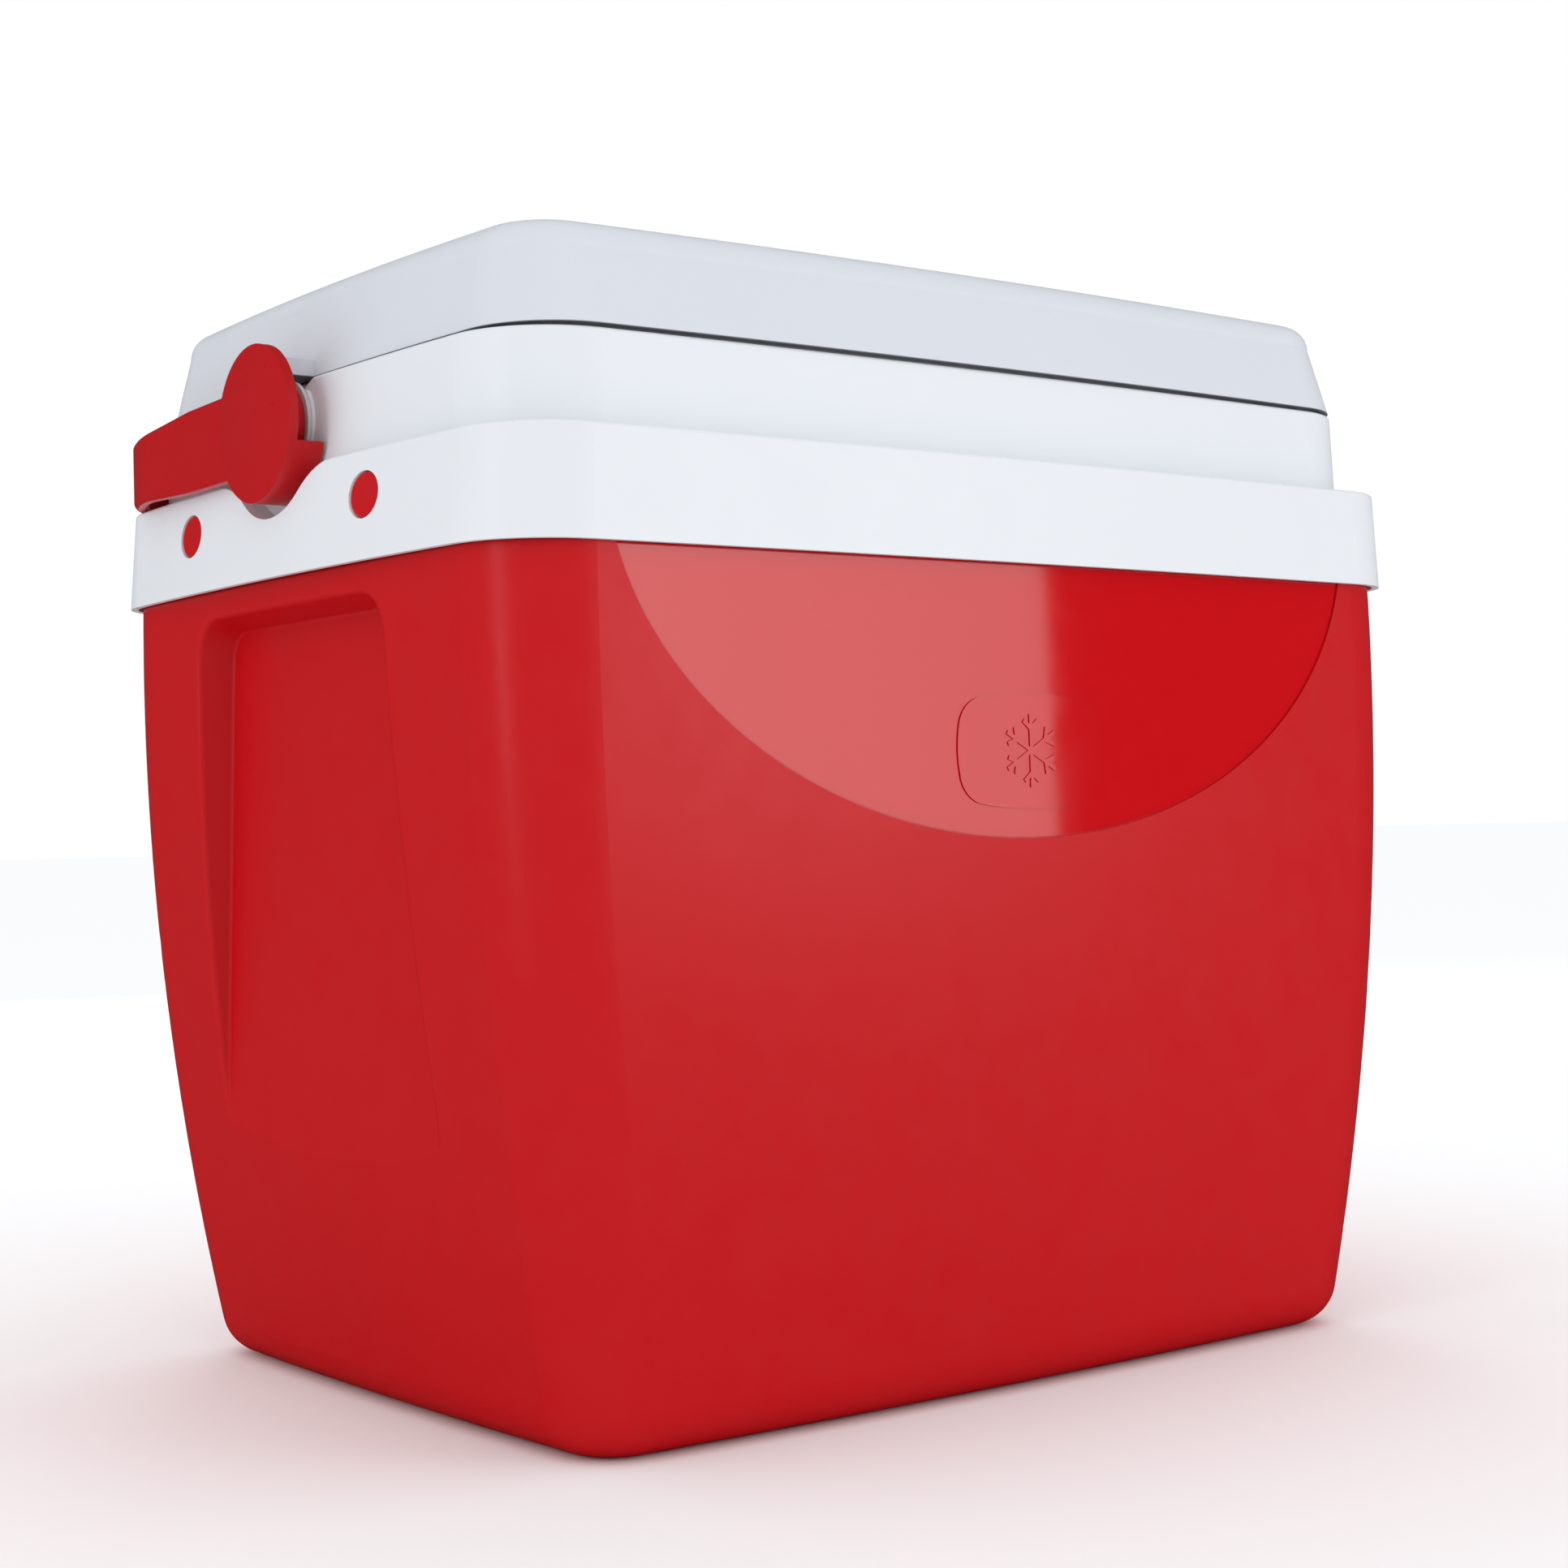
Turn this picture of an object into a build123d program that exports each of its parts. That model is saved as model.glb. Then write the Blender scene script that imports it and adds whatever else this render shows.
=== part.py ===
"""Hard-shell cooler box with a lift-off lid and a bail handle, in millimetres.

The frame is +Z up, +X along the long side, -Y at the front face that carries the badge, and the
origin is the centre of the base. The outer shell carries a snap-on collar, the liner hangs in it with
foam between, and the foam-filled lid rests on the collar. The bail handle turns on two bushes in the
collar's ends. At rest it lies back over the collar's ledge, behind the lid, and the open side of each
hub's rim faces up, so the lid's lugs can leave. Turned up, the rim covers the lugs and locks the lid.
"""

from build123d import *
import os
from math import cos, radians, sin, sqrt

# ---------------------------------------------------------------- driving dimensions
WALL = 2.5          # outer shell, collar and lid shell
THIN_WALL = 2.0     # liner and lid pan
GAP = 0.4           # free space between nested pieces of one body

# heights of the horizontal lines round the box
COLLAR_BOTTOM = 293.3
LEDGE = 330.3
COLLAR_TOP = 363.0
LID_BOTTOM = 364.1
LID_SHOULDER = 390.4
HEIGHT = 400.0

# outlines: half length, half depth, corner radius, bow of the ends, bow of the long sides
SKIRT_BOTTOM = (212.0, 150.6, 34.0, 6.8, 4.6)
SKIRT_TOP = (209.0, 150.2, 33.0, 6.8, 4.6)
BAND_BOTTOM = (201.9, 138.9, 36.0, 5.6, 4.4)
BAND_TOP = (200.7, 137.9, 36.0, 5.6, 4.4)
LID_LOW = (197.4, 138.2, 32.0, 5.4, 5.2)
LID_HIGH = (192.0, 130.0, 26.0, 5.4, 6.4)
MOUTH = (184.5, 122.0, 30.0, 2.4, 2.4)
LINER_FLOOR = (172.0, 112.0, 26.0, 1.6, 1.6)

# outer shell: half sizes as quadratics of the share of the height up to the collar
SHELL_LENGTH = (179.9, 59.6, -30.8)
SHELL_DEPTH = (139.2, 26.1, -17.6)
SHELL_CORNER = (28.0, 33.4)
SHELL_BOW_X = (3.4, 4.8)
SHELL_BOW_Y = (5.6, 4.6)
BASE_RADIUS = 18.0
NECK_TOP = 326.0
NECK_STEP = 0.6
NECK = (205.2, 146.3, 30.5, 5.6, 3.6)
BASE_PANEL_INSET = 34.0
BASE_PANEL_DEPTH = 2.0

# grip recess in each end
RECESS_PLANE = 199.0
RECESS_TOP = 279.6
RECESS_BOTTOM = 60.0
RECESS_HALF_TOP = 66.0
RECESS_HALF_BOTTOM = 82.0
RECESS_CORNER = 12.0
RECESS_DRAFT = 17.0
RECESS_ROUND = 1.6
RECESS_RIM = 2.4
CUT_LENGTH = 30.0

# polished lens on the front, with its badge
LENS_HALF_X = 174.0
LENS_HALF_Z = 118.0
LENS_CENTRE_Z = 314.0
LENS_DEPTH = 0.8
BADGE = (30.6, 17.4, 12.0, 3.6, 3.1)
BADGE_CENTRE_Z = 227.0
BADGE_RAISE = 0.5
STAR_RAISE = 0.9
STAR_ARM = 13.0
STAR_BRANCH = 4.5
STAR_STROKE = 1.5

# the shell's snap bosses, in oval windows in the collar's ends
SNAP_Y = 66.5
SNAP_Z = 315.0
SNAP_WINDOW = (19.0, 16.0)
SNAP_GAP = 0.3
SNAP_FOOT = 206.0
SNAP_BELOW = 0.4
SNAP_EDGE = 0.8

# pivot and hub
PIVOT_Z = 347.2
HUB_FACE = 222.2
HUB_CROWN = 1.4
HUB_RIM_EDGE = 1.0
DISC_RADIUS = 27.8
DISC_BACK = 218.8
RIM_WALL = 1.8
RIM_INNER = 208.6
RIM_OPEN_FROM = 45.0
RIM_OPEN_TO = 199.0
HUB_RADIUS = 14.4
HUB_INNER = 209.6
STUB_RADIUS = 8.0
STUB_INNER = 193.5
BUSH_BORE_RADIUS = 8.05
BUSH_BORE_INNER = 192.7
BUSH_BARREL_RADIUS = 10.4
BUSH_FLANGE_RADIUS = 16.0
BUSH_FLANGE_FACE = 209.2
BUSH_INNER = 190.5
BOSS_FACE = 207.9
BOSS_INNER = 196.0
BOSS_RADIUS = 20.0
SEAT_RADIUS = 16.6
SEAT_INNER = 201.0
POCKET_RADIUS = 33.0
POCKET_BACK = 207.5
POCKET_FLARE = 40.0
POCKET_OPENING = 140.0
POCKET_HEIGHT = 40.0
DIP_DEPTH = 4.6
DIP_HALF_WIDTH = 15.0
DIP_SHOULDER = 7.0

# bail: the heights of its top and bottom edges above the pivot, at distances behind the pivot
ARM_OUTER = 222.2
ARM_INNER = 216.9
GRIP_OUTER_Y = 154.8
GRIP_INNER_Y = 147.4
GRIP_BOW = 3.4
BAIL_CORNER = 64.0
BAIL_INNER_CORNER = 57.0
BAIL_END = 160.0
ARM_TOP_LINE = ((0.0, 14.0), (55.0, 12.4), (105.0, 8.2), (BAIL_END, 6.4))
ARM_BOTTOM_LINE = ((0.0, -17.1), (60.0, -17.6), (95.0, -16.4), (BAIL_END, -16.4))
ARM_BEND = 60.0
BAIL_EDGE = 2.0

# lid
LID_TOP_RADIUS = 9.4
LUG_HALF_Y = 8.0
LUG_TOP = 370.1
LUG_FOOT = 200.6
LUG_OUTER = 214.5
LUG_EDGE = 1.2
REST_RADIUS = 36.0
REST_DEPTH = 3.5
REST_X = 92.0
REST_Y = 52.0
PAN_FLANGE_BOTTOM = 363.1
PAN_FLANGE_THICKNESS = 2.2
PAN_BOTTOM = 343.0
PAN_TOP_OUTLINE = (182.6, 120.1, 28.5, 2.4, 2.4)
PAN_LOW_OUTLINE = (180.6, 118.1, 26.5, 2.4, 2.4)
PAN_ROUND = 6.0
PAN_SLACK = 0.6
LID_TOP_DRAW = 0.4
LID_FOAM_STEP = 2.4

TOP_PLATE = 3.0
COLLAR_EDGE = 1.2
BAND_ROOT = 3.0     # how far the upper band runs down into the ledge
LINER_TOP = COLLAR_TOP - TOP_PLATE - 0.1
LINER_FLANGE = 8.0
LINER_BOTTOM = 20.0
LINER_ROUND = 20.0
FAR_X = 240.0       # beyond every piece, for cuts that run out of the box
OVERCUT = 5.0
SIDES = (-1, 1)
ALIGN_UP = (Align.CENTER, Align.CENTER, Align.MIN)


# ---------------------------------------------------------------- outlines and lofts
def grown(shape, by):
    """An outline's numbers with its sides moved outwards by this much (inwards if negative)."""
    half_x, half_y, corner, bow_x, bow_y = shape
    return half_x + by, half_y + by, max(corner + by, 2.0), bow_x, bow_y


def outline(shape, z):
    """A face at height z: four shallow arcs joined by tangent corner arcs."""
    half_x, half_y, corner, bow_x, bow_y = shape
    radius_y = (half_x**2 + bow_y**2) / (2 * bow_y)
    centre_y = half_y + bow_y - radius_y
    radius_x = (half_y**2 + bow_x**2) / (2 * bow_x)
    centre_x = half_x + bow_x - radius_x
    # the corner arc's centre lies radius_y - corner from one centre and radius_x - corner from the other
    reach_y, reach_x = radius_y - corner, radius_x - corner
    k0 = (reach_y**2 - reach_x**2 + centre_x**2 - centre_y**2) / (2 * centre_x)
    k1 = centre_y / centre_x
    a = k1**2 + 1
    b = 2 * k0 * k1 - 2 * centre_y
    c = k0**2 + centre_y**2 - reach_y**2
    v = (-b + sqrt(b * b - 4 * a * c)) / (2 * a)
    u = k0 + k1 * v
    to_side = Vector(u, v - centre_y).normalized()
    to_end = Vector(u - centre_x, v).normalized()
    on_side = Vector(0, centre_y) + to_side * radius_y
    on_end = Vector(centre_x, 0) + to_end * radius_x
    middle = Vector(u, v) + (to_side + to_end).normalized() * corner

    def at(point, sx, sy):
        return Vector(point.X * sx, point.Y * sy, z)

    top, end = Vector(0, half_y + bow_y), Vector(half_x + bow_x, 0)
    edges = [
        ThreePointArc(at(on_side, -1, -1), at(top, 1, -1), at(on_side, 1, -1)),
        ThreePointArc(at(on_side, 1, -1), at(middle, 1, -1), at(on_end, 1, -1)),
        ThreePointArc(at(on_end, 1, -1), at(end, 1, 1), at(on_end, 1, 1)),
        ThreePointArc(at(on_end, 1, 1), at(middle, 1, 1), at(on_side, 1, 1)),
        ThreePointArc(at(on_side, 1, 1), at(top, 1, 1), at(on_side, -1, 1)),
        ThreePointArc(at(on_side, -1, 1), at(middle, -1, 1), at(on_end, -1, 1)),
        ThreePointArc(at(on_end, -1, 1), at(end, -1, 1), at(on_end, -1, -1)),
        ThreePointArc(at(on_end, -1, -1), at(middle, -1, -1), at(on_side, -1, -1)),
    ]
    return Face(Wire(edges))


def tower(*levels):
    """A solid lofted through (outline numbers, height) pairs, straight between two, smooth over more."""
    return loft([outline(shape, z) for shape, z in levels], ruled=len(levels) == 2)


def end_prism(profile, side, start, stop):
    """A profile drawn in Y and Z, extruded outwards along X on one end of the box, start to stop."""
    plane = Plane(origin=(side * start, 0, 0), x_dir=(0, side, 0), z_dir=(side, 0, 0))
    return extrude(plane * profile, stop - start)


def end_cylinder(side, radius, start, stop):
    """A cylinder round the pivot line on one end of the box."""
    return end_prism(Pos(0, PIVOT_Z) * Circle(radius), side, start, stop)


# ---------------------------------------------------------------- outer shell
def shell_shape(z, inset=0.0):
    """The outer shell's outline numbers at a height below the collar."""
    t = z / COLLAR_BOTTOM
    half_x = SHELL_LENGTH[0] + SHELL_LENGTH[1] * t + SHELL_LENGTH[2] * t * t
    half_y = SHELL_DEPTH[0] + SHELL_DEPTH[1] * t + SHELL_DEPTH[2] * t * t
    corner = SHELL_CORNER[0] + (SHELL_CORNER[1] - SHELL_CORNER[0]) * t
    bow_x = SHELL_BOW_X[0] + (SHELL_BOW_X[1] - SHELL_BOW_X[0]) * t
    bow_y = SHELL_BOW_Y[0] + (SHELL_BOW_Y[1] - SHELL_BOW_Y[0]) * t
    return grown((half_x, half_y, corner, bow_x, bow_y), -inset)


def shell_body(inset, floor, top):
    """The shell's outer form moved inwards by inset, from floor to top, with a rounded base."""
    heights = [floor] + [COLLAR_BOTTOM * share for share in (0.25, 0.5, 0.75, 1.0)]
    belly = tower(*[(shell_shape(z, inset), z) for z in heights])
    base = belly.edges().group_by(Axis.Z)[0]
    belly = fillet(base, BASE_RADIUS - inset)
    neck = tower((shell_shape(COLLAR_BOTTOM, inset + NECK_STEP), COLLAR_BOTTOM), (grown(NECK, -inset), top))
    return belly + neck


def recess_cutter(side, inset):
    """The drafted cutter that leaves the grip recess in one end, moved inwards by inset."""
    with BuildSketch() as profile:
        with BuildLine():
            Polyline(
                (-RECESS_HALF_TOP, RECESS_TOP),
                (RECESS_HALF_TOP, RECESS_TOP),
                (RECESS_HALF_BOTTOM, RECESS_BOTTOM),
                (-RECESS_HALF_BOTTOM, RECESS_BOTTOM),
                close=True,
            )
        make_face()
        fillet(profile.vertices().group_by(Axis.Y)[-1], RECESS_CORNER)
        offset(amount=inset, kind=Kind.ARC)
    plane = Plane(origin=(side * (RECESS_PLANE - inset), 0, 0), x_dir=(0, side, 0), z_dir=(side, 0, 0))
    cutter = extrude(plane * profile.sketch, CUT_LENGTH, taper=-RECESS_DRAFT)
    floor = cutter.faces().sort_by(Axis.X)[0 if side > 0 else -1]
    return fillet(floor.edges(), RECESS_ROUND + inset)


def front_prism(profile, back, front):
    """A profile drawn in X and Z, extruded along Y from back to front (front is the lower Y)."""
    plane = Plane(origin=(0, back, 0), x_dir=(1, 0, 0), z_dir=(0, -1, 0))
    return extrude(plane * profile, back - front, dir=(0, -1, 0))


def snow_star():
    """A plain six-armed star for the badge, each arm with two short side branches."""
    branch = Pos(0, STAR_BRANCH / 2) * Rectangle(STAR_STROKE, STAR_BRANCH)
    spoke = Pos(0, STAR_ARM / 2) * Rectangle(STAR_STROKE, STAR_ARM)
    for lean in (-50, 50):
        spoke += Pos(0, STAR_ARM * 0.6) * Rot(0, 0, lean) * branch
    star = Sketch()
    for turn in range(6):
        star += Rot(0, 0, 60 * turn) * spoke
    return star


def snap_window(y, shrink=0.0):
    """The oval of one snap window in an end, drawn in Y and Z, shrunk on all sides."""
    width, height = SNAP_WINDOW
    return Pos(y, SNAP_Z) * Ellipse(width / 2 - shrink, height / 2 - shrink)


def snap_boss(side, y):
    """A boss on the shell's neck that fills one of the collar's windows, just below its surface."""
    boss = end_prism(snap_window(side * y, SNAP_GAP), side, SNAP_FOOT, FAR_X)
    boss &= tower((grown(SKIRT_BOTTOM, -SNAP_BELOW), COLLAR_BOTTOM), (grown(SKIRT_TOP, -SNAP_BELOW), LEDGE))
    face = boss.faces().sort_by(Axis.X)[-1 if side > 0 else 0]
    return fillet(face.edges(), SNAP_EDGE)


def make_outer_shell():
    outer = shell_body(0.0, 0.0, NECK_TOP)
    sunk = shell_body(LENS_DEPTH, 0.0, NECK_TOP)
    deeper = shell_body(2 * LENS_DEPTH, 0.0, NECK_TOP)
    cavity = shell_body(WALL, WALL + NECK_STEP, NECK_TOP + OVERCUT)
    front, back = -SHELL_DEPTH[0] - 2 * CUT_LENGTH, -SHELL_DEPTH[0] / 2

    below_collar = Pos(0, 0, (COLLAR_BOTTOM + 1.0) / 2) * Box(3 * FAR_X, 3 * FAR_X, COLLAR_BOTTOM + 1.0)
    lens = front_prism(Pos(0, LENS_CENTRE_Z) * Ellipse(LENS_HALF_X, LENS_HALF_Z), back, front)
    shell = outer - ((lens & below_collar) - sunk)
    badge = front_prism(Pos(0, BADGE_CENTRE_Z) * outline(BADGE, 0.0), back, front)
    star = front_prism(Pos(0, BADGE_CENTRE_Z) * snow_star(), back, front)
    shell += badge & (shell_body(LENS_DEPTH - BADGE_RAISE, 0.0, NECK_TOP) - deeper)
    shell += star & (shell_body(LENS_DEPTH - STAR_RAISE, 0.0, NECK_TOP) - deeper)

    for side in SIDES:
        before = shell
        cutter = recess_cutter(side, 0.0)
        shell = before - cutter
        shell = fillet(new_edges(before, cutter, combined=shell), RECESS_RIM)
        cavity -= recess_cutter(side, WALL)
    shell -= cavity
    panel = outline(grown(shell_shape(0.0), -BASE_PANEL_INSET), 0.0)
    shell -= extrude(panel, BASE_PANEL_DEPTH, dir=(0, 0, 1))
    for side in SIDES:
        shell -= end_prism(pocket_profile(WALL + GAP), side, POCKET_BACK - WALL - GAP, FAR_X)
        for y in (-SNAP_Y, SNAP_Y):
            shell += snap_boss(side, y)
    return shell


# ---------------------------------------------------------------- collar
def pocket_profile(grow=0.0):
    """The hub pocket's outline in Y and Z: a round trough that flares out into the ledge."""
    with BuildSketch() as profile:
        with Locations((0, PIVOT_Z)):
            Circle(POCKET_RADIUS)
        with Locations((0, LEDGE + POCKET_HEIGHT / 2)):
            Rectangle(POCKET_OPENING, POCKET_HEIGHT)
        corners = [v for v in profile.vertices() if abs(v.Y - LEDGE) < 0.01 and abs(v.X) < POCKET_RADIUS]
        fillet(corners, POCKET_FLARE)
        if grow:
            offset(amount=grow, kind=Kind.ARC)
    return profile.sketch


def dip_profile():
    """The dip in the upper band's top edge under a lug, in Y and Z, with rounded shoulders."""
    radius = (DIP_HALF_WIDTH**2 + DIP_DEPTH**2) / (2 * DIP_DEPTH)
    with BuildSketch() as profile:
        with Locations((0, COLLAR_TOP - DIP_DEPTH + radius)):
            Circle(radius)
        with Locations((0, COLLAR_TOP + radius)):
            Rectangle(6 * radius, 2 * radius)
        corners = [v for v in profile.vertices() if abs(v.Y - COLLAR_TOP) < 0.01 and abs(v.X) < radius]
        fillet(corners, DIP_SHOULDER)
    return profile.sketch


def make_collar():
    skirt = tower((SKIRT_BOTTOM, COLLAR_BOTTOM), (SKIRT_TOP, LEDGE))
    skirt = fillet(skirt.edges().group_by(Axis.Z)[-1], COLLAR_EDGE)
    band = tower((BAND_BOTTOM, LEDGE - BAND_ROOT), (BAND_TOP, COLLAR_TOP))
    band = fillet(band.edges().group_by(Axis.Z)[-1], COLLAR_EDGE)
    hollow = tower((grown(SKIRT_BOTTOM, -WALL), COLLAR_BOTTOM - 1), (grown(SKIRT_TOP, -WALL), LEDGE - WALL))
    root = grown(BAND_BOTTOM, -WALL), LEDGE - 2 * BAND_ROOT
    hollow += tower(root, (grown(BAND_TOP, -WALL), COLLAR_TOP - TOP_PLATE))
    for side in SIDES:
        hollow -= end_prism(pocket_profile(WALL), side, POCKET_BACK - WALL, FAR_X)
        hollow -= end_cylinder(side, BOSS_RADIUS, BOSS_INNER, BOSS_FACE)
    collar = skirt + band - hollow
    collar -= extrude(outline(MOUTH, COLLAR_TOP - 2 * TOP_PLATE), 4 * TOP_PLATE, dir=(0, 0, 1))
    for side in SIDES:
        collar -= end_prism(pocket_profile(), side, POCKET_BACK, FAR_X)
        collar -= end_prism(dip_profile(), side, SEAT_INNER, FAR_X)
        seat = end_cylinder(side, SEAT_RADIUS, SEAT_INNER, BOSS_FACE)
        above_dip = Pos(0, 0, COLLAR_TOP - DIP_DEPTH) * Box(2 * FAR_X, 2 * FAR_X, FAR_X, align=ALIGN_UP)
        collar += seat - above_dip
        collar -= end_cylinder(side, BUSH_BARREL_RADIUS, BUSH_INNER, FAR_X)
        for y in (-SNAP_Y, SNAP_Y):
            collar -= end_prism(snap_window(y), side, SNAP_FOOT, FAR_X)
    return collar


def make_bush(side):
    """The bush that a handle stub turns in: a flanged cup pressed into the collar's boss."""
    bush = end_cylinder(side, BUSH_BARREL_RADIUS, BUSH_INNER, BOSS_FACE)
    bush += end_cylinder(side, BUSH_FLANGE_RADIUS, BOSS_FACE, BUSH_FLANGE_FACE)
    return bush - end_cylinder(side, BUSH_BORE_RADIUS, BUSH_BORE_INNER, FAR_X)


# ---------------------------------------------------------------- liner and foam

def liner_body(grow, top, bottom):
    """The liner's outer form moved outwards by grow."""
    body = tower((grown(LINER_FLOOR, THIN_WALL + grow), bottom), (grown(MOUTH, THIN_WALL + grow), top))
    return fillet(body.edges().group_by(Axis.Z)[0], LINER_ROUND + grow)


def make_liner():
    liner = liner_body(0.0, LINER_TOP, LINER_BOTTOM)
    flange = outline(grown(MOUTH, LINER_FLANGE), LINER_TOP - THIN_WALL)
    liner += extrude(flange, THIN_WALL, dir=(0, 0, 1))
    return liner - liner_body(-THIN_WALL, LINER_TOP + OVERCUT, LINER_BOTTOM + THIN_WALL)


def make_body_foam():
    clear = WALL + GAP
    foam = shell_body(clear, clear + NECK_STEP, NECK_TOP - OVERCUT)
    for side in SIDES:
        foam -= recess_cutter(side, clear)
    top = LINER_TOP - THIN_WALL - GAP
    inset = -WALL - THIN_WALL
    foam += tower((grown(BAND_BOTTOM, inset), NECK_TOP - 4 * OVERCUT), (grown(BAND_TOP, inset), top))
    foam -= liner_body(GAP, top + OVERCUT, LINER_BOTTOM - GAP)
    for side in SIDES:
        foam -= end_prism(pocket_profile(clear), side, POCKET_BACK - clear, FAR_X)
        foam -= end_cylinder(side, BOSS_RADIUS + GAP, BOSS_INNER - GAP, FAR_X)
        foam -= end_cylinder(side, BUSH_BARREL_RADIUS + GAP, BUSH_INNER - GAP, FAR_X)
        for y in (-SNAP_Y, SNAP_Y):
            foam -= end_prism(snap_window(y, -GAP), side, SNAP_FOOT - GAP, FAR_X)
    return foam


# ---------------------------------------------------------------- lid
def make_lid_shell():
    dome = tower((LID_LOW, LID_BOTTOM), (LID_HIGH, LID_SHOULDER))
    cap = tower((LID_HIGH, LID_SHOULDER), (grown(LID_HIGH, -LID_TOP_DRAW), HEIGHT))
    cap = fillet(cap.edges().group_by(Axis.Z)[-1], LID_TOP_RADIUS)
    shell = dome + cap
    inside = grown(LID_HIGH, -WALL)
    hollow = tower((grown(LID_LOW, -WALL), LID_BOTTOM), (inside, LID_SHOULDER))
    upper = tower((inside, LID_SHOULDER), (grown(inside, -LID_TOP_DRAW), HEIGHT - WALL))
    upper = fillet(upper.edges().group_by(Axis.Z)[-1], LID_TOP_RADIUS - WALL)
    hollow += upper
    for x in (-REST_X, REST_X):
        for y in (-REST_Y, REST_Y):
            rest = Pos(x, y, HEIGHT) * Cylinder(REST_RADIUS, 2 * REST_DEPTH)
            hollow -= Pos(x, y, HEIGHT) * Cylinder(REST_RADIUS + WALL, 2 * (REST_DEPTH + WALL))
            shell -= rest
    shell -= hollow
    profile = Pos(0, (LID_BOTTOM + LUG_TOP) / 2) * Rectangle(2 * LUG_HALF_Y, LUG_TOP - LID_BOTTOM)
    for side in SIDES:
        lug = end_prism(profile, side, LUG_FOOT, LUG_OUTER)
        tip = lug.faces().sort_by(Axis.X)[-1 if side > 0 else 0]
        shell += fillet(tip.edges().sort_by(Axis.Z)[1:], LUG_EDGE)
    return shell


def make_lid_pan():
    """The lid's underside: a flange inside the shell's skirt and a plug that fills the mouth."""
    flange_top = PAN_FLANGE_BOTTOM + PAN_FLANGE_THICKNESS
    plate = outline(grown(LID_LOW, -WALL - PAN_SLACK), PAN_FLANGE_BOTTOM)
    flange = extrude(plate, PAN_FLANGE_THICKNESS, dir=(0, 0, 1))
    plug = tower((PAN_LOW_OUTLINE, PAN_BOTTOM), (PAN_TOP_OUTLINE, flange_top))
    plug = fillet(plug.edges().group_by(Axis.Z)[0], PAN_ROUND)
    return flange + plug - pan_filling(THIN_WALL, flange_top)


def pan_filling(inset, top):
    """The space inside the pan's plug, moved inwards by inset."""
    levels = (grown(PAN_LOW_OUTLINE, -inset), PAN_BOTTOM + inset), (grown(PAN_TOP_OUTLINE, -inset), top)
    filling = tower(*levels)
    return fillet(filling.edges().group_by(Axis.Z)[0], PAN_ROUND - THIN_WALL)


def make_lid_foam():
    start = PAN_FLANGE_BOTTOM + PAN_FLANGE_THICKNESS + GAP
    inset = -WALL - GAP
    foam = tower((grown(LID_LOW, inset), LID_BOTTOM), (grown(LID_HIGH, inset), LID_SHOULDER))
    foam -= Box(2 * FAR_X, 2 * FAR_X, start, align=ALIGN_UP)
    foam += pan_filling(THIN_WALL + GAP, start)
    top = HEIGHT - WALL - REST_DEPTH - GAP
    crown = outline(grown(LID_HIGH, inset - LID_FOAM_STEP), LID_SHOULDER)
    return foam + extrude(crown, top - LID_SHOULDER, dir=(0, 0, 1))


# ---------------------------------------------------------------- handle
def bail_plan():
    """The bail seen from above: a U whose arms reach forward to the pivot line."""
    outer_y, inner_y = GRIP_OUTER_Y - GRIP_BOW, GRIP_INNER_Y - GRIP_BOW
    with BuildSketch() as plan:
        with BuildLine():
            Polyline((-ARM_INNER, inner_y), (-ARM_INNER, 0), (-ARM_OUTER, 0), (-ARM_OUTER, outer_y))
            ThreePointArc((-ARM_OUTER, outer_y), (0, GRIP_OUTER_Y), (ARM_OUTER, outer_y))
            Polyline((ARM_OUTER, outer_y), (ARM_OUTER, 0), (ARM_INNER, 0), (ARM_INNER, inner_y))
            ThreePointArc((ARM_INNER, inner_y), (0, GRIP_INNER_Y), (-ARM_INNER, inner_y))
        make_face()
        corners = plan.vertices().filter_by_position(Axis.Y, inner_y - 0.1, outer_y + 0.1)
        by_size = corners.sort_by(lambda vertex: abs(vertex.X))
        fillet(by_size[2:], BAIL_CORNER)
        fillet(plan.vertices().filter_by_position(Axis.Y, inner_y - 0.1, inner_y + 0.1), BAIL_INNER_CORNER)
    return plan.sketch


def arm_profile():
    """The bail's height along its arms, in Y and Z, drooping and tapering towards the grip."""
    line = [(y, PIVOT_Z + rise) for y, rise in ARM_BOTTOM_LINE + ARM_TOP_LINE[::-1]]
    with BuildSketch() as profile:
        with BuildLine():
            Polyline(*line, close=True)
        make_face()
        fillet(profile.vertices().filter_by_position(Axis.X, 1, BAIL_END - 1), ARM_BEND)
    return profile.sketch


def make_bail():
    """The U-shaped band between the hubs, with its long edges rounded."""
    low = PIVOT_Z - CUT_LENGTH
    bail = extrude(Pos(0, 0, low) * bail_plan(), 2 * CUT_LENGTH)
    bail &= end_prism(arm_profile(), 1, -FAR_X, FAR_X)
    rims = [face for face in bail.faces() if abs(face.normal_at().Z) > 0.95]
    edges = [edge for face in rims for edge in face.edges()]
    return fillet([edge for edge in edges if edge.center().Y > 1 and edge.length > 8], BAIL_EDGE)


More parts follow.
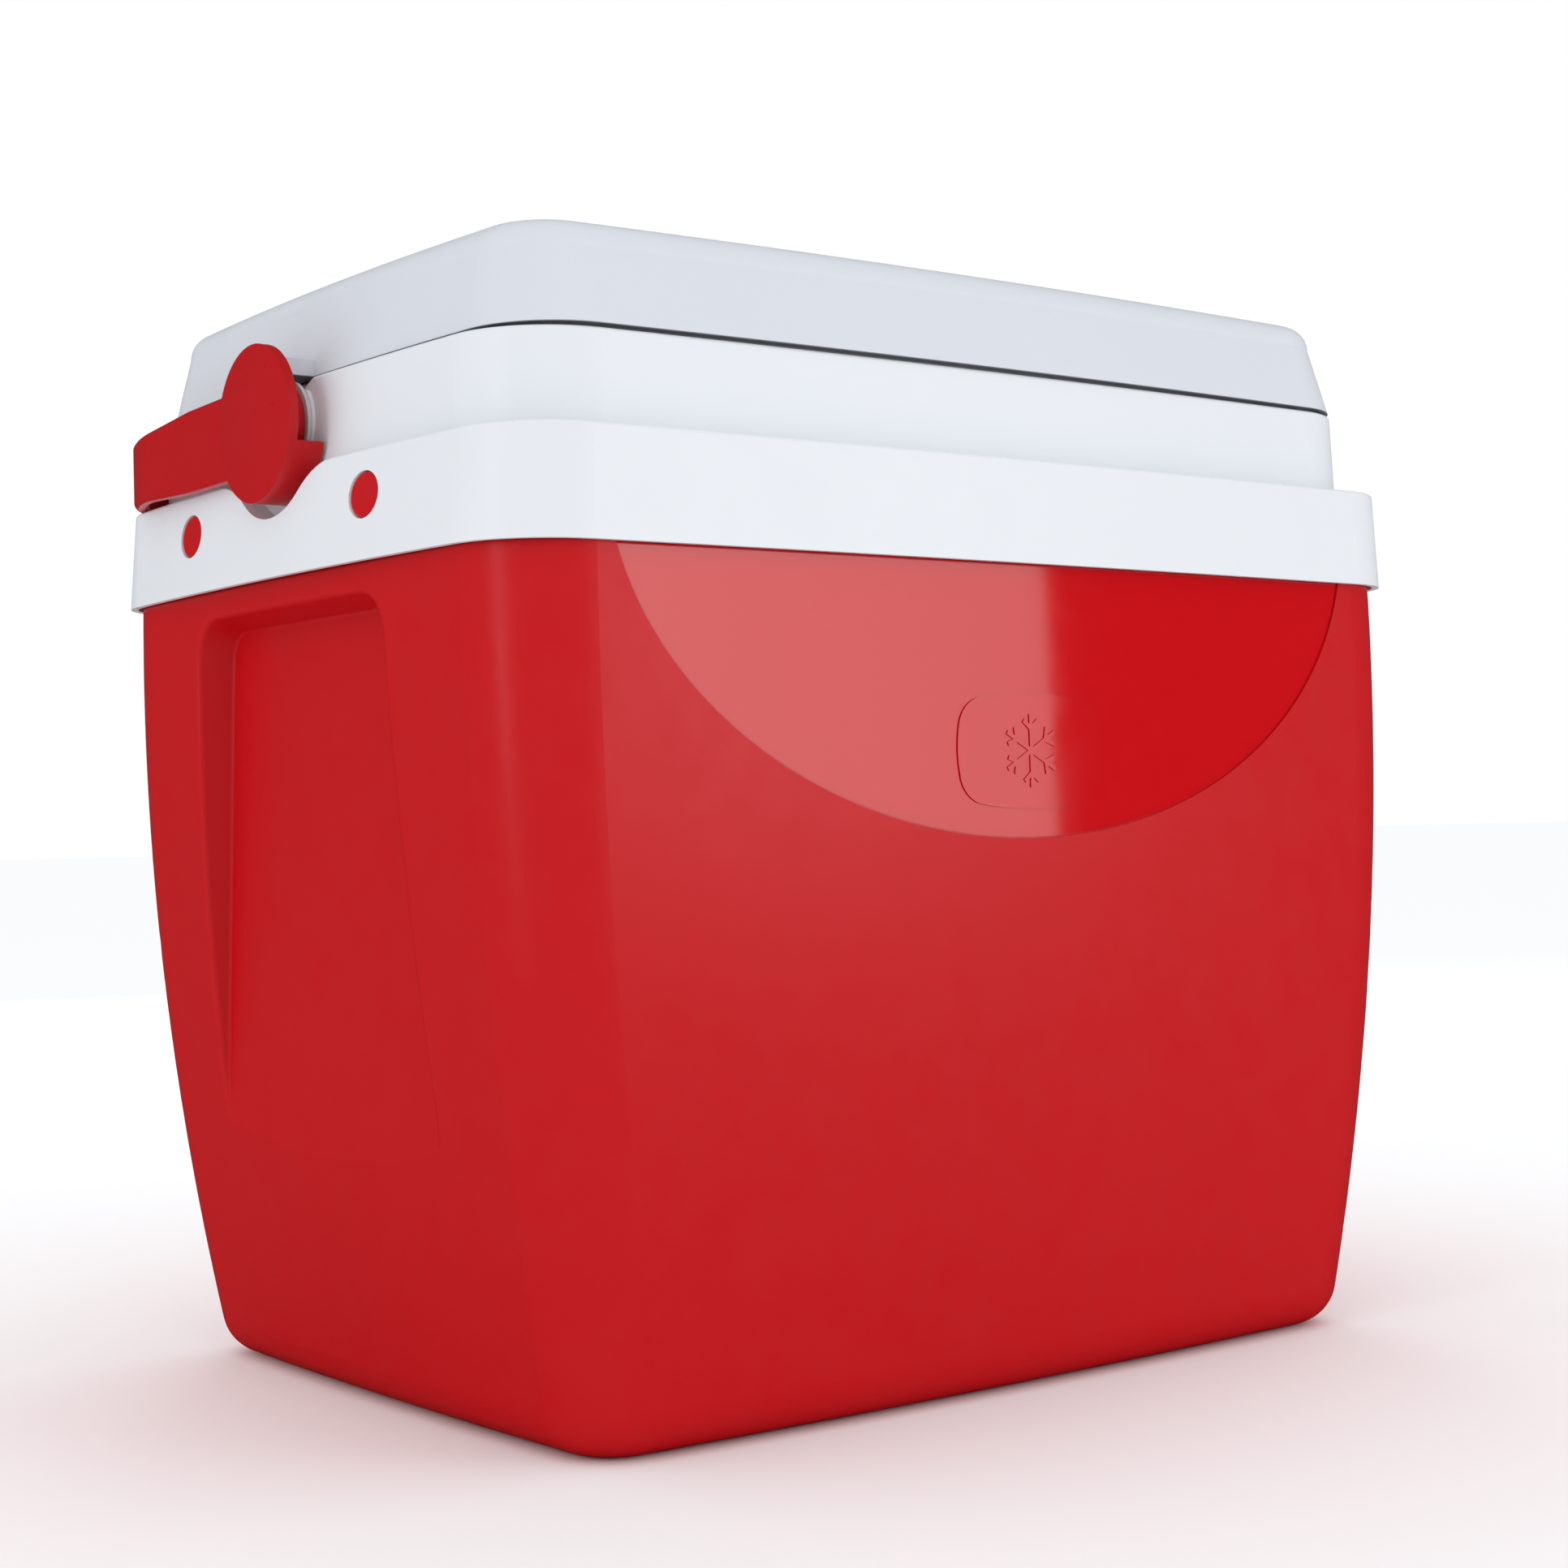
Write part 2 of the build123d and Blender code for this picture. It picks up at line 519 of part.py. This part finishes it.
def make_hub():
    """One hub, for the right end: a crowned disc, its half-open rim, the boss and the stub."""
    dome_radius = (DISC_RADIUS**2 + HUB_CROWN**2) / (2 * HUB_CROWN)
    half_way = HUB_FACE + HUB_CROWN - dome_radius + sqrt(dome_radius**2 - (DISC_RADIUS / 2) ** 2)
    with BuildSketch(Plane.XZ) as section:
        with BuildLine():
            Polyline(
                (HUB_FACE + HUB_CROWN, PIVOT_Z),
                (DISC_BACK, PIVOT_Z),
                (DISC_BACK, PIVOT_Z + DISC_RADIUS),
                (HUB_FACE, PIVOT_Z + DISC_RADIUS),
            )
            ThreePointArc(
                (HUB_FACE, PIVOT_Z + DISC_RADIUS),
                (half_way, PIVOT_Z + DISC_RADIUS / 2),
                (HUB_FACE + HUB_CROWN, PIVOT_Z),
            )
        make_face()
        fillet(section.vertices().group_by(Axis.Z)[-1].sort_by(Axis.X)[-1], HUB_RIM_EDGE)
    disc = revolve(section.sketch, axis=Axis((0, 0, PIVOT_Z), (1, 0, 0)))
    opening = [(0.0, 0.0)]
    for step in range(3):
        angle = radians(RIM_OPEN_FROM + (RIM_OPEN_TO - RIM_OPEN_FROM) * step / 2)
        opening.append((2 * DISC_RADIUS * cos(angle), 2 * DISC_RADIUS * sin(angle)))
    ring = Circle(DISC_RADIUS) - Circle(DISC_RADIUS - RIM_WALL) - make_face(Polyline(*opening, close=True))
    rim = end_prism(Pos(0, PIVOT_Z) * ring, 1, RIM_INNER, DISC_BACK)
    boss = end_cylinder(1, HUB_RADIUS, HUB_INNER, DISC_BACK)
    stub = end_cylinder(1, STUB_RADIUS, STUB_INNER, DISC_BACK)
    return disc + rim + boss + stub


def make_handle():
    hub = make_hub()
    return make_bail() + hub + mirror(hub, about=Plane.YZ)


# ---------------------------------------------------------------- writing
PARTS = {
    "outer_shell": make_outer_shell,
    "collar": make_collar,
    "pivot_bush_left": lambda: make_bush(-1),
    "pivot_bush_right": lambda: make_bush(1),
    "inner_liner": make_liner,
    "body_insulation": make_body_foam,
    "lid_shell": make_lid_shell,
    "lid_inner_panel": make_lid_pan,
    "lid_insulation": make_lid_foam,
    "handle": make_handle,
}

if __name__ == "__main__":
    os.makedirs("parts", exist_ok=True)
    for name, make in PARTS.items():
        shape = make()
        export_step(shape, f"parts/{name}.step")
        print(name, round(shape.volume), shape.is_valid, len(shape.solids()))
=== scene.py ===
from math import cos, radians, sin

import bpy
from mathutils import Matrix, Vector

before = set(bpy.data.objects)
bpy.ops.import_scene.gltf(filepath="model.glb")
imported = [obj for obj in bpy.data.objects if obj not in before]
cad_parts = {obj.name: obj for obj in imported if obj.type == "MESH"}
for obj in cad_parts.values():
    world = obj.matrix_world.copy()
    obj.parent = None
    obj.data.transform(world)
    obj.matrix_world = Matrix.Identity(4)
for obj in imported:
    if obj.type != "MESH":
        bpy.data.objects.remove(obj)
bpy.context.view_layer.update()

# Lengths are in metres and angles in degrees, except where a name says otherwise.

# ---------------------------------------------------------------- camera
CAMERA_PLACE = Vector((-0.6257, -0.8253, 0.1999))
CAMERA_YAW = 37.49      # from +Y towards +X
CAMERA_PITCH = 1.09     # above the horizon
CAMERA_ROLL = -1.38
CAMERA_LENS_MM = 59.41
SENSOR_WIDTH_MM = 36.0


def add_camera():
    yaw, pitch, roll = radians(CAMERA_YAW), radians(CAMERA_PITCH), radians(CAMERA_ROLL)
    forward = Vector((sin(yaw) * cos(pitch), cos(yaw) * cos(pitch), sin(pitch)))
    level = Vector((cos(yaw), -sin(yaw), 0.0))
    above = level.cross(forward)
    right = cos(roll) * level + sin(roll) * above
    up = -sin(roll) * level + cos(roll) * above
    data = bpy.data.cameras.new("camera")
    data.sensor_width = SENSOR_WIDTH_MM
    data.lens = CAMERA_LENS_MM
    camera = bpy.data.objects.new("camera", data)
    rotation = Matrix((right, up, -forward)).transposed().to_4x4()
    camera.matrix_world = Matrix.Translation(CAMERA_PLACE) @ rotation
    bpy.context.scene.collection.objects.link(camera)
    bpy.context.scene.camera = camera


# ---------------------------------------------------------------- light and floor
ROOM_COLOUR = (0.97, 0.985, 1.0, 1)
ROOM_STRENGTH = 1.0             # as the room lights the object
REFLECTED_COLOUR = (0.95, 0.98, 1.0, 1)
REFLECTED_STRENGTH = 0.05       # as the room shows in reflections
BACKDROP_COLOUR = (1, 1, 1, 1)  # as the camera sees the room

FLOOR_REACH = 60.0
FLOOR_COLOUR = (0.98, 0.98, 0.98, 1)
FLOOR_REFLECTED_COLOUR = (0.05, 0.05, 0.05, 1)

# The front box makes the wide highlight on the lens, which ends where the box ends.
SOFTBOXES = (
    dict(name="front_softbox", bearing=31.9, distance=2.36, height=0.56, size=(0.8, 0.86),
         watts=5.3, left=1.45),
    dict(name="corner_softbox", bearing=-82.0, distance=2.6, height=0.9, size=(0.5, 1.6), watts=6),
    dict(name="back_softbox", bearing=150.0, distance=2.6, height=0.9, size=(0.8, 1.4), watts=6),
)


def add_softbox(name, bearing, distance, height, size, watts, left=1.0, right=1.0):
    """An upright rectangle of light that faces the object's axis, at a bearing from -Y towards +X.

    left and right are its brightness at the two upright edges, as the camera sees them.
    """
    angle = radians(bearing)
    data = bpy.data.lights.new(name, "AREA")
    data.shape = "RECTANGLE"
    data.size, data.size_y = size
    data.energy = watts
    data.use_nodes = True
    nodes, links = data.node_tree.nodes, data.node_tree.links
    place = nodes.new("ShaderNodeNewGeometry")
    split = nodes.new("ShaderNodeSeparateXYZ")
    fade = nodes.new("ShaderNodeMapRange")
    fade.inputs["To Min"].default_value = left
    fade.inputs["To Max"].default_value = right
    links.new(place.outputs["Parametric"], split.inputs[0])
    links.new(split.outputs["X"], fade.inputs["Value"])
    links.new(fade.outputs[0], nodes["Emission"].inputs["Strength"])
    lamp = bpy.data.objects.new(name, data)
    lamp.location = (sin(angle) * distance, -cos(angle) * distance, height)
    towards = Vector((0, 0, height)) - lamp.location
    lamp.rotation_mode = "QUATERNION"
    lamp.rotation_quaternion = towards.to_track_quat("-Z", "Y")
    bpy.context.scene.collection.objects.link(lamp)


def coloured_shader(tree, kind, colour):
    shader = tree.nodes.new(kind)
    shader.inputs["Color"].default_value = colour
    return shader


def shader_by_ray(tree, ray, usual, special):
    """The usual shader, but the special one for one kind of ray, such as Is Glossy Ray."""
    path = tree.nodes.new("ShaderNodeLightPath")
    mix = tree.nodes.new("ShaderNodeMixShader")
    for source, target in zip((path.outputs[ray], usual.outputs[0], special.outputs[0]), mix.inputs):
        tree.links.new(source, target)
    return mix


def add_world():
    """A bright plain room, which is dim in reflections and pure white behind the object."""
    world = bpy.data.worlds.new("studio")
    bpy.context.scene.world = world
    world.cycles.sampling_method = "NONE"   # rays find the room by chance, so each gets its own shader
    world.use_nodes = True
    tree = world.node_tree
    tree.nodes.clear()
    room = coloured_shader(tree, "ShaderNodeBackground", ROOM_COLOUR)
    room.inputs["Strength"].default_value = ROOM_STRENGTH
    reflected = coloured_shader(tree, "ShaderNodeBackground", REFLECTED_COLOUR)
    reflected.inputs["Strength"].default_value = REFLECTED_STRENGTH
    backdrop = coloured_shader(tree, "ShaderNodeBackground", BACKDROP_COLOUR)
    unseen = shader_by_ray(tree, "Is Glossy Ray", room, reflected)
    seen = shader_by_ray(tree, "Is Camera Ray", unseen, backdrop)
    out = tree.nodes.new("ShaderNodeOutputWorld")
    tree.links.new(seen.outputs[0], out.inputs[0])


def add_floor():
    """A plain pale floor, which shows only faintly in the object's reflections."""
    mesh = bpy.data.meshes.new("floor")
    signs = ((-1, -1), (1, -1), (1, 1), (-1, 1))
    corners = [(x * FLOOR_REACH, y * FLOOR_REACH, 0) for x, y in signs]
    mesh.from_pydata(corners, [], [(0, 1, 2, 3)])
    floor = bpy.data.objects.new("floor", mesh)
    bpy.context.scene.collection.objects.link(floor)
    material = bpy.data.materials.new("floor")
    material.use_nodes = True
    tree = material.node_tree
    tree.nodes.clear()
    pale = coloured_shader(tree, "ShaderNodeBsdfDiffuse", FLOOR_COLOUR)
    faint = coloured_shader(tree, "ShaderNodeBsdfDiffuse", FLOOR_REFLECTED_COLOUR)
    mix = shader_by_ray(tree, "Is Glossy Ray", pale, faint)
    out = tree.nodes.new("ShaderNodeOutputMaterial")
    tree.links.new(mix.outputs[0], out.inputs[0])
    mesh.materials.append(material)


# ---------------------------------------------------------------- materials
class Surface:
    """A procedural material under construction, in the object's own coordinates."""

    def __init__(self, name):
        self.material = bpy.data.materials.new(name)
        self.material.use_nodes = True
        self.nodes = self.material.node_tree.nodes
        self.shader = self.nodes["Principled BSDF"]
        self.place = self.nodes.new("ShaderNodeTexCoord").outputs["Object"]

    def link(self, source, target):
        self.material.node_tree.links.new(source, target)

    def feed(self, socket, value):
        """Give a node's input a socket to follow or a value to hold."""
        if isinstance(value, bpy.types.NodeSocket):
            self.link(value, socket)
        else:
            socket.default_value = value

    def set(self, **values):
        """Set the shader's inputs, named with underscores for spaces."""
        for name, value in values.items():
            self.feed(self.shader.inputs[name.replace("_", " ")], value)

    def noise(self, scale, detail, roughness=0.5, stretch=None):
        node = self.nodes.new("ShaderNodeTexNoise")
        node.inputs["Scale"].default_value = scale
        node.inputs["Detail"].default_value = detail
        node.inputs["Roughness"].default_value = roughness
        source = self.place
        if stretch:
            mapping = self.nodes.new("ShaderNodeMapping")
            mapping.inputs["Scale"].default_value = stretch
            self.link(self.place, mapping.inputs["Vector"])
            source = mapping.outputs[0]
        self.link(source, node.inputs["Vector"])
        return node.outputs[0]

    def cells(self, scale):
        """The distance to the nearest wall of a random cell."""
        node = self.nodes.new("ShaderNodeTexVoronoi")
        node.feature = "DISTANCE_TO_EDGE"
        node.inputs["Scale"].default_value = scale
        self.link(self.place, node.inputs["Vector"])
        return node.outputs["Distance"]

    def spread(self, value, start, stop, low, high, smooth=False):
        """Map a value's range start..stop onto low..high, clamped."""
        node = self.nodes.new("ShaderNodeMapRange")
        node.interpolation_type = "SMOOTHSTEP" if smooth else "LINEAR"
        names = ("From Min", "From Max", "To Min", "To Max")
        for name, number in zip(names, (start, stop, low, high)):
            self.feed(node.inputs[name], number)
        self.link(value, node.inputs["Value"])
        return node.outputs[0]

    def math(self, operation, first, second):
        node = self.nodes.new("ShaderNodeMath")
        node.operation = operation
        self.feed(node.inputs[0], first)
        self.feed(node.inputs[1], second)
        return node.outputs[0]

    def axis(self, letter):
        node = self.nodes.new("ShaderNodeSeparateXYZ")
        self.link(self.place, node.inputs[0])
        return node.outputs[letter]

    def between(self, factor, first, second):
        """Mix two number sockets."""
        node = self.nodes.new("ShaderNodeMix")
        for place, source in ((0, factor), (2, first), (3, second)):
            self.link(source, node.inputs[place])
        return node.outputs[0]

    def blend(self, factor, first, second):
        """Mix two colours, each a colour socket or three numbers."""
        node = self.nodes.new("ShaderNodeMix")
        node.data_type = "RGBA"
        self.feed(node.inputs[0], factor)
        for socket, colour in ((node.inputs[6], first), (node.inputs[7], second)):
            is_socket = isinstance(colour, bpy.types.NodeSocket)
            self.feed(socket, colour if is_socket else (*colour, 1.0))
        return node.outputs[2]

    def bump(self, height, distance, strength, below=None):
        """Bumps of a height socket, on top of another bump's normal if one is below."""
        node = self.nodes.new("ShaderNodeBump")
        node.inputs["Distance"].default_value = distance
        self.feed(node.inputs["Strength"], strength)
        self.link(height, node.inputs["Height"])
        if below:
            self.link(below, node.inputs["Normal"])
        return node.outputs[0]


def tinted(colour, factor):
    return tuple(min(channel * factor, 1.0) for channel in colour)


RED = (0.545, 0.0035, 0.0068)
HANDLE_RED = tinted(RED, 0.9)
COLLAR_WHITE = (0.77, 0.795, 0.83)
# The lid's white is set darker than the collar's: painted shade for the dimmer light from above.
LID_WHITE_SHADED = (0.685, 0.71, 0.76)
LINER_WHITE = (0.80, 0.81, 0.82)
BUSH_WHITE = (0.70, 0.70, 0.69)
FOAM_DARK, FOAM_LIGHT = (0.80, 0.73, 0.50), (0.88, 0.83, 0.64)
FOAM_WALL = (0.90, 0.86, 0.70)

# Painted shade in the seam under the lid: the height where the surface is as unshaded as the third
# number, the height where it is as unshaded as the fourth, with 0 for the painted grey alone and 1 for
# bare plastic.
SEAM_SHADE_GREY = (0.10, 0.105, 0.115)
LID_SEAM_SHADE = (0.36415, 0.3645, 0.1, 1.0)      # the underside and lowest edge of the lid's skirt
PANEL_SEAM_SHADE = (0.36312, 0.3632, 1.0, 0.05)   # the edge of the panel's flange, behind the seam

# The polished lens is the part of this ellipse that lies below the collar, on the front only.
LENS_HALF_X = 0.174
LENS_HALF_Z = 0.118
LENS_CENTRE_Z = 0.314
LENS_EDGE = (0.985, 1.005)      # where polish starts to fade and where satin starts, as a square
LENS_BEHIND_Y = -0.1

NOISE_RANGE = (0.3, 0.7)        # where nearly all of a noise's values lie
RED_MOTTLE, WHITE_MOTTLE = 0.03, 0.012
GLOSS_SPREAD = 0.035            # how far roughness wanders to each side of its middle
WAVE_DEPTH = 0.0002


def moulded(surface, colour, satin, grain_scale, grain_depth, mottle, polish=None, unshaded=None):
    """Moulded plastic: faint flow mottling, a spark-eroded grain, soft waves and uneven gloss.

    polish is a 0..1 socket that holds grain and waves back where the mould was polished, and unshaded
    is one that falls below 1 where a painted shade greys the colour. Returns the roughness, middle
    satin.
    """
    flow = surface.noise(9.0, 3.0, 0.55, stretch=(1.0, 1.0, 0.45))
    paint = surface.blend(flow, tinted(colour, 1 - mottle), tinted(colour, 1 + mottle))
    # Painted shade: a dark grey is blended into the colour in the seam under the lid.
    if unshaded:
        paint = surface.blend(unshaded, SEAM_SHADE_GREY, paint)
    surface.set(Base_Color=paint)
    wave = surface.noise(26.0, 1.0)
    grain = surface.noise(grain_scale, 2.0, 0.6)
    strength = surface.math("SUBTRACT", 1.0, polish) if polish else 1.0
    waves = surface.bump(wave, WAVE_DEPTH, surface.math("MULTIPLY", strength, 0.5))
    surface.set(Normal=surface.bump(grain, grain_depth, strength, waves))
    patches = surface.noise(55.0, 4.0, 0.65)
    return surface.spread(patches, *NOISE_RANGE, satin - GLOSS_SPREAD, satin + GLOSS_SPREAD)


def lens_mask(surface):
    """1 on the polished lens and 0 elsewhere, with a soft edge."""
    across = surface.math("DIVIDE", surface.axis("X"), LENS_HALF_X)
    height = surface.math("SUBTRACT", surface.axis("Z"), LENS_CENTRE_Z)
    upward = surface.math("DIVIDE", height, LENS_HALF_Z)
    across_squared = surface.math("POWER", across, 2.0)
    upward_squared = surface.math("POWER", upward, 2.0)
    squares = surface.math("ADD", across_squared, upward_squared)
    ellipse = surface.spread(squares, *LENS_EDGE, 1.0, 0.0, smooth=True)
    front = surface.math("LESS_THAN", surface.axis("Y"), LENS_BEHIND_Y)
    return surface.math("MULTIPLY", ellipse, front)


def shell_material():
    """Red polypropylene, satin all over but for the polished lens on the front."""
    surface = Surface("shell_red")
    lens = lens_mask(surface)
    rough = moulded(surface, RED, 0.31, 1300.0, 0.000008, RED_MOTTLE, polish=lens)
    polished = surface.spread(surface.noise(120.0, 3.0), *NOISE_RANGE, 0.045, 0.075)
    surface.set(Roughness=surface.between(lens, rough, polished), IOR=1.5, Specular_IOR_Level=0.25)
    surface.set(Coat_Weight=surface.math("MULTIPLY", lens, 0.46), Coat_Roughness=0.05, Coat_IOR=1.48)
    return surface.material


def handle_material():
    """Red polypropylene, a shade darker than the shell, and nearly smooth."""
    surface = Surface("handle_red")
    rough = moulded(surface, HANDLE_RED, 0.3, 1500.0, 0.000003, RED_MOTTLE)
    surface.set(Roughness=rough, IOR=1.5, Specular_IOR_Level=0.3)
    return surface.material


def white_material(name, colour, satin, grain_scale, grain_depth, glow=0.0, seam=None):
    """White plastic. glow is how much light it lets in, and seam says where shade is painted into the
    colour.
    """
    surface = Surface(name)
    # Painted shade by height, darkest in the seam under the lid.
    unshaded = surface.spread(surface.axis("Z"), *seam) if seam else None
    rough = moulded(surface, colour, satin, grain_scale, grain_depth, WHITE_MOTTLE, unshaded=unshaded)
    surface.set(Roughness=rough, IOR=1.49, Subsurface_Weight=glow, Subsurface_Scale=0.004)
    surface.set(Subsurface_Radius=(1.0, 0.95, 0.9))
    return surface.material


def foam_material():
    """Rigid polyurethane foam: cream, with open cells on its skin."""
    surface = Surface("foam")
    cells = surface.cells(900.0)
    blotches = surface.noise(30.0, 4.0, 0.6)
    cream = surface.blend(blotches, FOAM_DARK, FOAM_LIGHT)
    inside = surface.spread(cells, 0.0, 0.18, 0.0, 1.0)
    surface.set(Base_Color=surface.blend(inside, FOAM_WALL, cream))
    surface.set(Roughness=surface.spread(blotches, *NOISE_RANGE, 0.85, 0.95))
    surface.set(Normal=surface.bump(cells, 0.0006, 0.8, surface.bump(blotches, 0.002, 0.4)))
    return surface.material


def dress_nodes():
    """Give each CAD node its material: name, colour, satin, grain scale and grain depth."""
    collar = white_material("collar_white", COLLAR_WHITE, 0.40, 1400.0, 0.00001)
    lid = white_material("lid_white", LID_WHITE_SHADED, 0.43, 1100.0, 0.000016, seam=LID_SEAM_SHADE)
    liner = white_material("liner_white", LINER_WHITE, 0.24, 1500.0, 0.000006)
    panel = white_material("panel_white", LINER_WHITE, 0.24, 1500.0, 0.000006, seam=PANEL_SEAM_SHADE)
    bush = white_material("bush_white", BUSH_WHITE, 0.35, 1500.0, 0.000006, glow=0.15)
    foam = foam_material()
    dress = {
        "outer_shell": shell_material(),
        "handle": handle_material(),
        "collar": collar,
        "lid_shell": lid,
        "inner_liner": liner,
        "lid_inner_panel": panel,
        "pivot_bush_left": bush,
        "pivot_bush_right": bush,
        "body_insulation": foam,
        "lid_insulation": foam,
    }
    for name, material in dress.items():
        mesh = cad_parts[name].data
        mesh.materials.clear()
        mesh.materials.append(material)


# ---------------------------------------------------------------- the scene
add_camera()
add_world()
add_floor()
for softbox in SOFTBOXES:
    add_softbox(**softbox)
bpy.context.scene.view_settings.view_transform = "Standard"
dress_nodes()
